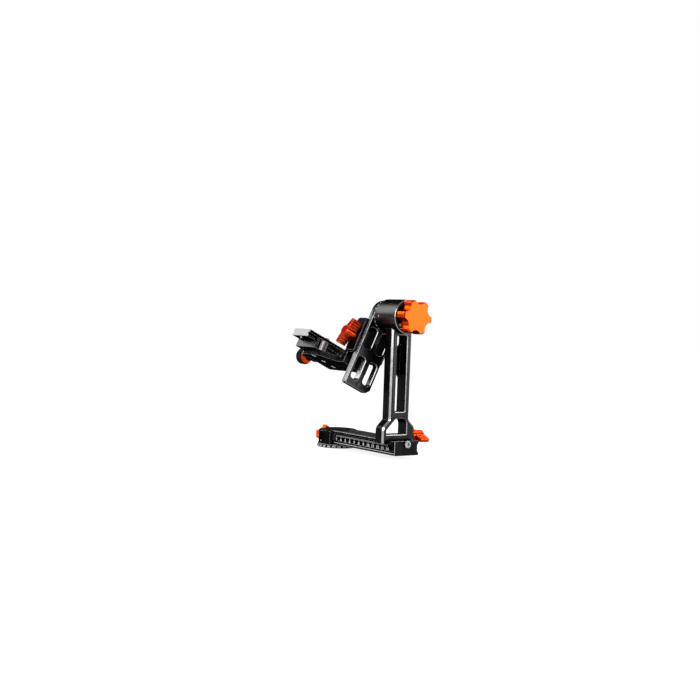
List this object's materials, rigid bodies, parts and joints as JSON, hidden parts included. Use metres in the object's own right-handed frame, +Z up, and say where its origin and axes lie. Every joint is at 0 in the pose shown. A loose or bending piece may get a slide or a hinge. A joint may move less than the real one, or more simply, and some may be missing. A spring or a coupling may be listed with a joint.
{
  "type": "gimbal tripod head",
  "caption": "Gimbal tripod head: panning base arm, sliding upright with tilt bearing, swing plate, height-adjustable cradle and quick-release lens plate.",
  "frame": {"origin": "centre of the panning base's bottom face, where the tripod socket's axis meets it", "axes": "+Z up along the pan axis, +X along the base arm from the pan axis to the upright, -Y the way the lens points; the tilt axis is parallel to X at z 181.8 mm"},
  "size_m": [0.2071, 0.1241, 0.2041],
  "materials": {
    "base_black": "satin black anodised",
    "arm_black": "satin black anodised, bright chamfers",
    "upright_black": "satin black anodised, bright chamfers",
    "plate_black": "satin black anodised, bright chamfers",
    "cradle_black": "satin black anodised",
    "clamp_black": "satin black anodised",
    "cap_black": "matt black anodised",
    "knob_orange": "gloss orange anodised",
    "cap_knurled": "satin black, knurled",
    "screw_silver": "bright nickel",
    "steel_inner": "turned",
    "bronze": "turned",
    "rubber": "ribbed black rubber",
    "pad_nylon": "natural"
  },
  "bodies": {
    "base": {"pan_base": "base_black", "thread_bush": "steel_inner", "pan_spindle": "steel_inner", "base_screws": "screw_silver", "pan_washer": "bronze", "pan_nut": "steel_inner"},
    "arm": {"base_arm": "arm_black", "pan_bush": "bronze", "pan_cap": "cap_black", "arm_stop_screw": "screw_silver"},
    "pan_brake": {"pan_lock_pad": "pad_nylon"},
    "pan_knob": {"pan_lock_screw": "screw_silver", "pan_lock_knob": "knob_orange"},
    "upright_body": {"upright": "upright_black", "outer_races": "steel_inner", "tilt_end_cap": "cap_black", "end_cap_screws": "screw_silver"},
    "foot_jaw_body": {"foot_jaw": "upright_black", "foot_guide_pins": "steel_inner"},
    "foot_knob_body": {"foot_knob": "knob_orange", "foot_screw": "screw_silver"},
    "tilt_brake": {"tilt_brake_pad": "pad_nylon"},
    "tilt_knob": {"tilt_lock_screw": "screw_silver", "tilt_star_knob": "knob_orange"},
    "swing": {"swing_plate": "plate_black", "tilt_axle": "steel_inner", "bearing_spacer": "steel_inner", "axle_nut": "steel_inner", "axle_screws": "screw_silver", "degree_ring": "base_black", "plate_stop_screw": "screw_silver", "inner_races": "steel_inner", "bearing_balls": "steel_inner"},
    "cradle": {"height_clamp": "clamp_black", "cradle_bracket": "cradle_black", "bracket_screws": "screw_silver", "qr_clamp_body": "clamp_black", "clamp_screws": "screw_silver"},
    "height_jaw_body": {"height_jaw": "clamp_black", "height_guide_pins": "steel_inner"},
    "height_knob_body": {"height_knob": "knob_orange", "height_screw": "screw_silver"},
    "qr_jaw_body": {"qr_jaw": "clamp_black", "qr_guide_pins": "steel_inner"},
    "qr_knob_body": {"qr_knob_collar": "knob_orange", "qr_knob_cap": "cap_knurled", "qr_screw": "screw_silver"},
    "lens_plate_body": {"lens_plate": "plate_black", "lens_plate_pads": "rubber", "plate_stop_pins": "screw_silver"},
    "lens_screw_body": {"lens_screw": "screw_silver"}
  },
  "joints": [
    {"name": "pan", "type": "hinge", "parent": "base", "child": "arm", "pos_m": [0, 0, 0.0053], "axis": [0, 0, 1], "continuous": true},
    {"name": "pan_brake_slide", "type": "slide", "parent": "arm", "child": "pan_brake", "axis": [-1, 0, 0], "range_m": [0, 0.001]},
    {"name": "pan_lock_turn", "type": "hinge", "parent": "pan_brake", "child": "pan_knob", "pos_m": [-0.03, 0, 0.014], "axis": [-1, 0, 0], "range_deg": [0, 360]},
    {"name": "upright_slide", "type": "slide", "parent": "arm", "child": "upright_body", "axis": [1, 0, 0], "range_m": [-0.095, 0.008]},
    {"name": "foot_jaw_slide", "type": "slide", "parent": "upright_body", "child": "foot_jaw_body", "axis": [0, 1, 0], "range_m": [0, 0.0016]},
    {"name": "foot_knob_turn", "type": "hinge", "parent": "foot_jaw_body", "child": "foot_knob_body", "pos_m": [0.1293, 0.0264, 0.02745], "axis": [0, 1, 0], "range_deg": [0, 720]},
    {"name": "tilt", "type": "hinge", "parent": "upright_body", "child": "swing", "pos_m": [0.107, 0, 0.1818], "axis": [1, 0, 0], "continuous": true},
    {"name": "tilt_brake_slide", "type": "slide", "parent": "upright_body", "child": "tilt_brake", "axis": [1, 0, 0], "range_m": [0, 0.000937]},
    {"name": "tilt_knob_turn", "type": "hinge", "parent": "tilt_brake", "child": "tilt_knob", "pos_m": [0.16, 0, 0.1818], "axis": [1, 0, 0], "range_deg": [0, 270]},
    {"name": "height_slide", "type": "slide", "parent": "swing", "child": "cradle", "axis": [0, 0.4274, 0.9041], "range_m": [-0.035, 0.012]},
    {"name": "height_jaw_slide", "type": "slide", "parent": "cradle", "child": "height_jaw_body", "axis": [0, -0.9041, 0.4274], "range_m": [0, 0.002]},
    {"name": "height_knob_turn", "type": "hinge", "parent": "height_jaw_body", "child": "height_knob_body", "pos_m": [0.08735, -0.0404, 0.15554], "axis": [0, -0.9041, 0.4274], "range_deg": [0, 720]},
    {"name": "qr_jaw_slide", "type": "slide", "parent": "cradle", "child": "qr_jaw_body", "axis": [-1, 0, 0], "range_m": [0, 0.003]},
    {"name": "qr_knob_turn", "type": "hinge", "parent": "qr_jaw_body", "child": "qr_knob_body", "pos_m": [-0.0058, -0.04814, 0.12326], "axis": [-1, 0, 0], "range_deg": [0, 1080]},
    {"name": "lens_plate_slide", "type": "slide", "parent": "cradle", "child": "lens_plate_body", "axis": [0, 0.9041, -0.4274], "range_m": [-0.006, 0.01]},
    {"name": "lens_screw_turn", "type": "hinge", "parent": "lens_plate_body", "child": "lens_screw_body", "pos_m": [0.02, -0.03831, 0.14405], "axis": [0, 0.4274, 0.9041], "continuous": true}
  ],
  "couplings": [
    {"joint": "pan_lock_turn", "follows": "pan_brake_slide", "rad_per_m": 6283.2},
    {"joint": "foot_knob_turn", "follows": "foot_jaw_slide", "rad_per_m": 7854},
    {"joint": "tilt_knob_turn", "follows": "tilt_brake_slide", "rad_per_m": 5026.5},
    {"joint": "height_knob_turn", "follows": "height_jaw_slide", "rad_per_m": 6283.2},
    {"joint": "qr_knob_turn", "follows": "qr_jaw_slide", "rad_per_m": 6283.2}
  ]
}
